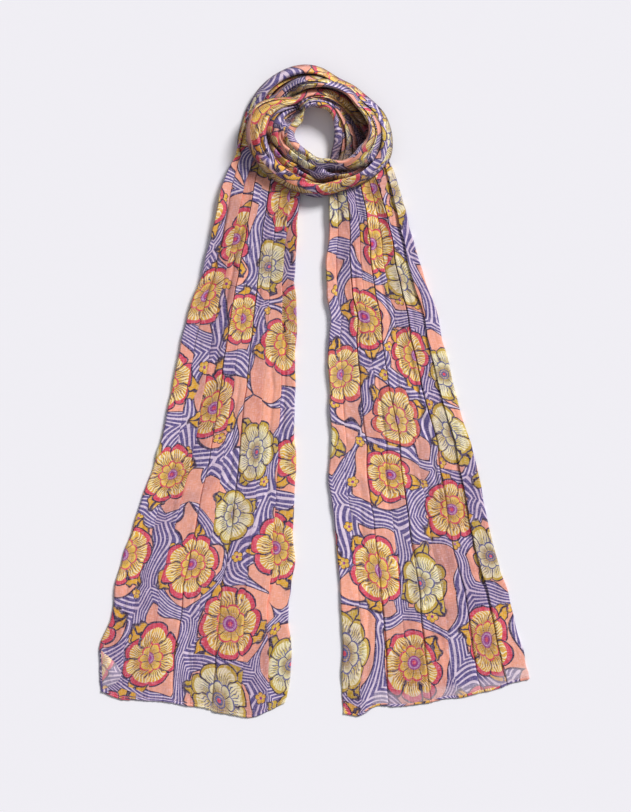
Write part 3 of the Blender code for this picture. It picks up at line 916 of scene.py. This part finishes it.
PRINT_CELL = 93.0  # spacing of the large blossoms, in millimetres of cloth
PRINT_TURN = 0.42  # the layout's slant against the cloth, in radians
PRINT_SCATTER = 0.42  # how far the blossoms stray from even places
SMALL_SCATTER = 0.8
LARGE_RADIUS = 39.0
SMALL_CELL = 52.0
SMALL_RADIUS = 7.0
LINE_SPACING = 4.1  # of the parallel lines in the ribbons
RIBBON_WIDTHS = (50.0, -13.0)  # how their half width follows a noise from 0 to 1
STROKES = 28.0  # how closely the ink strokes stand round a blossom
FULL_TURN = 6.28

CORAL = (0.95, 0.405, 0.272)
DULL_CORAL = (0.68, 0.315, 0.255)
VIOLET = (0.105, 0.080, 0.250)
NAVY = (0.040, 0.022, 0.062)
LILAC = (0.74, 0.61, 0.75)
GOLD = (0.76, 0.40, 0.030)
PALE_GOLD = (0.84, 0.55, 0.085)
PETAL_LIGHT = (0.93, 0.84, 0.58)
CRIMSON = (0.67, 0.060, 0.105)
MAGENTA = (0.33, 0.045, 0.25)
DARK_INK = (0.085, 0.045, 0.14)
CREAM = (0.78, 0.71, 0.42)
PALE_OLIVE = (0.66, 0.52, 0.13)
OLIVE = (0.56, 0.37, 0.035)
SLATE = (0.105, 0.11, 0.26)
PALE_LAYER = (0.80, 0.70, 0.72)
THREAD = (0.62, 0.36, 0.33)
DARK_THREAD = (0.44, 0.24, 0.25)
UNDER_TINT = (0.62, 0.50, 0.60)  # what a layer below leaves of the colour
PAINTED_SHADE_TINT = (0.17, 0.09, 0.10)  # painted shade: what is left of the colour in the depth of a valley and low in the pocket
# how much of the painted shade shows at the most
PAINTED_SHADE_SHARE = 0.92


def fill(node, values):
    """Put numbers, colours and other nodes' outputs on a node's sockets."""
    for key, value in values.items():
        socket = node.inputs[key]
        if isinstance(value, Shade):
            node.id_data.links.new(value.socket, socket)
        elif socket.type == "RGBA":
            socket.default_value = (*value, 1.0)
        else:
            socket.default_value = value


def add_node(tree, kind, values=None, **settings):
    """Add a node to a material and return its first output."""
    node = tree.nodes.new(kind)
    for name, value in settings.items():
        setattr(node, name, value)
    fill(node, values or {})
    return Shade(node.outputs[0])


def maths(kind):
    """A method of shades that adds a node for that sum."""
    def method(*values):
        return values[0].node("ShaderNodeMath", dict(enumerate(values)), operation=kind)
    return method


def vector_maths(kind, second=1):
    """The same for colours and places, with the socket that takes the second value."""
    def method(first, other):
        values = {0: first, second: other}
        return first.node("ShaderNodeVectorMath", values, operation=kind)
    return method


class Shade:
    """An output of a shader node. Sums that are written with shades add the nodes for them."""

    __add__ = maths("ADD")
    __sub__ = maths("SUBTRACT")
    __mul__ = maths("MULTIPLY")
    __truediv__ = maths("DIVIDE")
    __pow__ = maths("POWER")
    __abs__ = maths("ABSOLUTE")
    cosine = maths("COSINE")
    sine = maths("SINE")
    fraction = maths("FRACT")
    arctangent = maths("ARCTAN2")
    larger = maths("MAXIMUM")
    plus = vector_maths("ADD")
    minus = vector_maths("SUBTRACT")
    times = vector_maths("MULTIPLY")
    scaled = vector_maths("SCALE", "Scale")

    def __init__(self, socket):
        self.socket = socket

    def __getitem__(self, key):
        """Another output of the same node."""
        return Shade(self.socket.node.outputs[key])

    def node(self, kind, values, **settings):
        """A new node in the same material, by its first output."""
        return add_node(self.socket.id_data, kind, values, **settings)

    def length(self):
        return self.node("ShaderNodeVectorMath", {0: self}, operation="LENGTH")["Value"]

    def parts(self):
        part = self.node("ShaderNodeSeparateXYZ", {0: self})
        return part, part[1], part[2]

    def mask(self, low, high):
        """0 below low and 1 above high, or the other way round where low is the larger."""
        values = {"Value": self, "From Min": low, "From Max": high}
        return self.node("ShaderNodeMapRange", values, interpolation_type="SMOOTHSTEP")

    def noise(self, scale, detail=2.0):
        values = {"Vector": self, "Scale": scale, "Detail": detail}
        return self.node("ShaderNodeTexNoise", values, noise_dimensions="2D")

    def bent(self, scale, detail, far):
        """A place in the print moved about by soft noise, and laid flat."""
        sway = self.noise(scale, detail)["Color"].minus((0.5, 0.5, 0.5))
        return self.plus(sway.scaled(far)).times((1.0, 1.0, 0.0))

    def cells(self, feature, scatter):
        """Scattered cells, one unit apart: their middles, or how near their borders are."""
        values = {"Vector": self, "Scale": 1.0, "Randomness": scatter}
        settings = {"voronoi_dimensions": "2D", "feature": feature}
        return self.node("ShaderNodeTexVoronoi", values, **settings)

    def wave(self, direction):
        settings = {"wave_type": "BANDS", "bands_direction": direction}
        return self.node("ShaderNodeTexWave", {"Vector": self}, **settings)["Fac"]


def mix(share, first, second):
    """A colour between two others: the first where the share is 0, the second where it is 1."""
    shade = next(value for value in (share, first, second) if isinstance(value, Shade))
    values = {0: share, 6: first, 7: second}
    return shade.node("ShaderNodeMix", values, data_type="RGBA", clamp_factor=True)[2]


def flower_place(place, cells):
    """Distance and angle from a cell's middle, each flower turned its own way, and its luck."""
    away = place.minus(cells["Position"])
    x, y, _ = away.parts()
    luck, spin, other_luck = cells["Color"].parts()
    return away.length(), y.arctangent(x) + spin * FULL_TURN, luck, other_luck


def petals(angle, count, notch, power):
    """How far a flower's rim reaches at each angle, from 1 - notch between petals to 1."""
    wave = abs((angle * (count / 2)).cosine())
    return wave ** power * notch + (1 - notch), wave


def ribbons(place):
    """Ribbons of plain parallel lines that wind between the blossoms, over a coral ground."""
    bent = place.bent(1.7, 0.0, 0.36)
    distance = bent.cells("DISTANCE_TO_EDGE", PRINT_SCATTER)["Distance"] * PRINT_CELL
    spread, least = RIBBON_WIDTHS
    beyond = distance - (place.noise(1.2, 1.0) * spread + least)
    from_line = abs(((distance + 100.0) / LINE_SPACING).fraction() - 0.5)
    line = from_line.mask(0.23, 0.12) * place.noise(30.0).mask(0.05, 0.45)
    ground = mix(place.noise(1.7, 3.0).mask(0.35, 0.75), CORAL, DULL_CORAL)
    colour = mix(beyond.mask(0.3, -0.3), ground, mix(line, VIOLET, LILAC))
    return mix(abs(beyond).mask(1.05, 0.5), colour, NAVY)


def small_blossoms(place, colour):
    """Little five-petalled blossoms, strewn thinly over the ground and the ribbons."""
    distance, angle, luck, _ = flower_place(place, place.cells("F1", SMALL_SCATTER))
    rim, wave = petals(angle, 5, 0.34, 0.6)
    reach = distance * SMALL_CELL / (rim * SMALL_RADIUS)
    petal = mix(reach.mask(0.35, 0.8), PALE_GOLD, GOLD)
    petal = mix(wave.mask(0.22, 0.08), petal, NAVY)
    petal = mix(reach.mask(0.30, 0.22), petal, MAGENTA)
    petal = mix(reach.mask(0.86, 0.93), petal, NAVY)
    return mix(reach.mask(1.06, 1.0) * luck.mask(0.42, 0.44), colour, petal)


def leaves(angle, turn, radius, cream, inland, colour):
    """Pointed leaves that show between the petals, away from the ribbons."""
    wave = abs(((angle + turn) * 1.5).cosine())
    reach = radius / (wave ** 9.0 * 0.55 + 0.8)
    leaf = mix(reach.mask(0.90, 0.96), mix(cream, GOLD, OLIVE), NAVY)
    leaf = mix(wave.mask(0.9975, 0.9995), leaf, NAVY)
    return mix(reach.mask(1.02, 0.98) * inland, colour, leaf)


def inner_petals(angle, radius, cream, ink_stroke, ink, body):
    """A smaller ring of petals over a blossom's body."""
    rim, wave = petals(angle + math.pi / 8, 8, 0.22, 0.6)
    reach = radius / (rim * 0.50)
    petal = mix(reach.mask(0.35, 0.9), mix(cream, GOLD, OLIVE), mix(cream, PALE_GOLD, CREAM))
    petal = mix(ink_stroke * reach.mask(0.85, 0.6), petal, ink)
    petal = mix(wave.mask(0.20, 0.10), petal, NAVY)
    petal = mix(reach.mask(0.88, 0.93), petal, mix(cream, CRIMSON, SLATE))
    return mix(reach.mask(1.03, 0.99), body, petal)


def large_blossoms(place, colour):
    """Round face-on blossoms: golden ones with crimson rims and smaller cream ones."""
    middles = place.cells("F1", PRINT_SCATTER)
    distance, angle, kind_luck, size_luck = flower_place(place, middles)
    from_border = place.cells("DISTANCE_TO_EDGE", PRINT_SCATTER)["Distance"] * PRINT_CELL
    cream = kind_luck.mask(0.55, 0.57)
    angle = angle + (place.noise(5.0) * 0.5 + -0.25)
    rim, wave = petals(angle, 8, 0.16, 0.55)
    size = (size_luck * 0.14 + 0.90) * (cream * -0.08 + 1.0)
    radius = distance * (PRINT_CELL / LARGE_RADIUS) / size
    reach = radius / rim
    colour = leaves(angle, size_luck, radius, cream, from_border.mask(1.5, 2.5), colour)

    ink = mix(cream, DARK_INK, SLATE)
    strokes = abs((angle * STROKES).sine())
    ink_stroke = strokes.mask(0.50, 0.34)
    frayed = reach + (place.noise(30.0) * 0.30 + -0.15)
    washed = place.noise(9.0, 3.0).mask(0.40, 0.62)
    body = mix(washed, mix(cream, GOLD, CREAM), mix(cream, PALE_GOLD, PALE_OLIVE))
    body = mix(ink_stroke * frayed.mask(0.76, 0.64), body, ink)
    body = mix(strokes.mask(0.84, 0.94) * frayed.mask(0.56, 0.68), body, PETAL_LIGHT)
    beyond_edge = reach - (cream * 0.03 + 0.85)
    body = mix(beyond_edge.mask(-0.01, 0.01), body, mix(cream, CRIMSON, OLIVE))
    body = mix(wave.mask(0.16, 0.08) * reach.mask(0.34, 0.40), body, NAVY)
    body = inner_petals(angle, radius, cream, ink_stroke, ink, body)

    dots = strokes.mask(0.75, 0.88) * abs(radius - 0.14).mask(0.03, 0.015)
    heart = mix(dots, mix(cream, MAGENTA, SLATE), mix(cream, LILAC, PALE_GOLD))
    heart = mix(radius.mask(0.07, 0.05), heart, CRIMSON)
    body = mix(radius.mask(0.205, 0.185), body, heart)
    colour = mix(reach.mask(1.01, 0.99), colour, body)
    return mix(abs(reach - 1.0).mask(0.032, 0.016), colour, NAVY)


def new_material(name):
    """A new material and its shader node."""
    material = bpy.data.materials.new(name)
    material.use_nodes = True
    return material, material.node_tree.nodes["Principled BSDF"]


def printed_voile():
    """Thin plain-woven cotton with the print, painted shade in deep valleys and the pocket, fine
    slubs and a soft bump of threads.
    """
    material, shader = new_material("printed_voile")
    tree = material.node_tree
    cloth_map = add_node(tree, "ShaderNodeUVMap", uv_map="cloth")
    doubled, deep, sheer = (
        add_node(tree, "ShaderNodeAttribute", attribute_name=name)["Fac"]
        for name in ("doubled", "deep", "sheer")
    )
    turning = {"Vector": cloth_map, "Angle": PRINT_TURN}
    turned = add_node(tree, "ShaderNodeVectorRotate", turning, rotation_type="Z_AXIS")
    place = turned.scaled(1000.0 / PRINT_CELL).bent(0.8, 1.0, 0.30)
    colour = small_blossoms(place.scaled(PRINT_CELL / SMALL_CELL), ribbons(place))
    colour = large_blossoms(place, colour)

    colour = mix(sheer, colour, PALE_LAYER)
    ghost = place.plus((3.37, 1.83, 0.0)).noise(3.4, 1.0).mask(0.47, 0.55)
    colour = mix(doubled * (ghost * 0.22 + 0.30), colour, colour.times(UNDER_TINT))
    # Painted shade: darker deep in the valleys and creases and in the pocket.
    colour = mix(deep * PAINTED_SHADE_SHARE, colour, colour.times(PAINTED_SHADE_TINT))

    lengthwise = cloth_map.times((1900.0, 130.0, 0.0)).noise(1.0)
    slubs = lengthwise + cloth_map.times((150.0, 1700.0, 0.0)).noise(1.0)
    dusty = mix(slubs.mask(1.00, 1.35), colour, mix(0.42, colour, LILAC))

    threads = cloth_map.scaled(700.0)
    weave = threads.wave("X").larger(threads.wave("Y"))
    relief = {"Strength": 0.35, "Distance": 0.0003, "Height": weave * 0.35 + slubs}
    fill(shader, {
        "Base Color": dusty.scaled(slubs * 0.34 + 0.66),
        "Normal": add_node(tree, "ShaderNodeBump", relief),
        "Roughness": 0.86,
        "Specular IOR Level": 0.25,
        "Sheen Weight": 0.18,
        "Sheen Roughness": 0.45,
    })
    return material


def hem_thread():
    """Fine matt sewing thread, twisted from two slightly different strands."""
    material, shader = new_material("hem_thread")
    place = add_node(material.node_tree, "ShaderNodeTexCoord")["Object"]
    twist = place.scaled(900.0).wave("DIAGONAL")
    fill(shader, {"Base Color": mix(twist, THREAD, DARK_THREAD), "Roughness": 0.6})
    return material


# ---------------------------------------------------------------- stage

FLOOR_COLOUR = (0.875, 0.87, 0.915)
HALF_FLOOR = 30000.0
EVEN_LIGHT = 0.31
EVEN_COLOUR = (0.965, 0.965, 1.0)
LAMP_STRENGTH = 3.48
LAMP_COLOUR = (1.0, 0.985, 0.975)
LAMP_WIDTH = 17.0  # degrees of the sky that the lamp fills
LAMP_FROM = (0.62, 0.70, 0.75)
FILM_WIDTH = 36.0
FOCAL_LENGTH = 120.0
VIEW_HEIGHT = 0.9744  # metres of floor from the top to the bottom of the picture
VIEW_MIDDLE = (0.0006, -0.0192)


def set_stage():
    """A wide pale floor."""
    corners = [(-1, -1, 0), (1, -1, 0), (1, 1, 0), (-1, 1, 0)]
    paint, shader = new_material("pale_floor")
    fill(shader, {"Base Color": FLOOR_COLOUR, "Roughness": 0.9})
    floor = add_piece("floor", np.array(corners) * HALF_FLOOR, [(0, 1, 2, 3)], paint)


def set_camera():
    """A camera straight above the scarf."""
    camera_data = bpy.data.cameras.new("camera")
    camera = add_object("camera", camera_data)
    camera_data.sensor_width = FILM_WIDTH
    camera_data.lens = FOCAL_LENGTH
    camera.location = (*VIEW_MIDDLE, VIEW_HEIGHT * FOCAL_LENGTH / FILM_WIDTH)
    bpy.context.scene.camera = camera


def set_light():
    """Soft studio light from the upper right, over a weaker even light."""
    scene = bpy.context.scene
    scene.world = bpy.data.worlds.new("studio")
    scene.world.use_nodes = True
    sky = scene.world.node_tree.nodes["Background"]
    fill(sky, {"Color": EVEN_COLOUR, "Strength": EVEN_LIGHT})
    lamp_data = bpy.data.lights.new("soft_lamp", "SUN")
    lamp_data.energy = LAMP_STRENGTH
    lamp_data.angle = math.radians(LAMP_WIDTH)
    lamp_data.color = LAMP_COLOUR
    lamp = add_object("soft_lamp", lamp_data)
    lamp.rotation_euler = Vector(LAMP_FROM).to_track_quat("Z", "Y").to_euler()
    scene.view_settings.view_transform = "Standard"
    scene.view_settings.look = "None"


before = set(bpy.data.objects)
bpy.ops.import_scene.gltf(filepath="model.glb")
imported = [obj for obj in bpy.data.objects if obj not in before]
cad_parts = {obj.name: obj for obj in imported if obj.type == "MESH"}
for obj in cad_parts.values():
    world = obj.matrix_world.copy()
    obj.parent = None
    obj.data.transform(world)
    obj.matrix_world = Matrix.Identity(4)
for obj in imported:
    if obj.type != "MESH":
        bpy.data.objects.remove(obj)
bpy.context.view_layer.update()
set_camera()
set_light()
set_stage()
voile = printed_voile()
thread = hem_thread()
cloth, rows = lay_cloth()
along = cloth.strip.along
across = cloth_distances(cloth)
end_trims = {}
for name, hem_row, inside in (("left_end", 0, 1), ("right_end", len(along) - 1, -1)):
    hem = hem_piece(name + "_rolled_hem", cloth, across, hem_row, voile)
    seam = stitches(name + "_hem_stitches", cloth, across, hem_row + inside, thread)
    end_trims[name] = [hem, seam]
end_trims["left_end"].append(turned_corner(cloth, rows["left_end"], voile))
for trims in end_trims.values():
    for trim in trims:
        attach(trim, "root")

RESTS_ON = {
    "left_end": [],
    "loop_outer_course": ["right_end", "loop_inner_course"],
    "loop_front_course": ["left_end", "right_end", "loop_outer_course"],
    "loop_inner_course": [],
    "right_end": [],
}
for name, below in RESTS_ON.items():
    taken = rows[name]
    piece = cloth_piece("voile_" + name, cloth, across, taken, voile)
    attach(piece, "root")
    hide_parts(name)
    spans = np.linalg.norm(np.diff(cloth.points[taken], axis=1), axis=2).sum(axis=1)
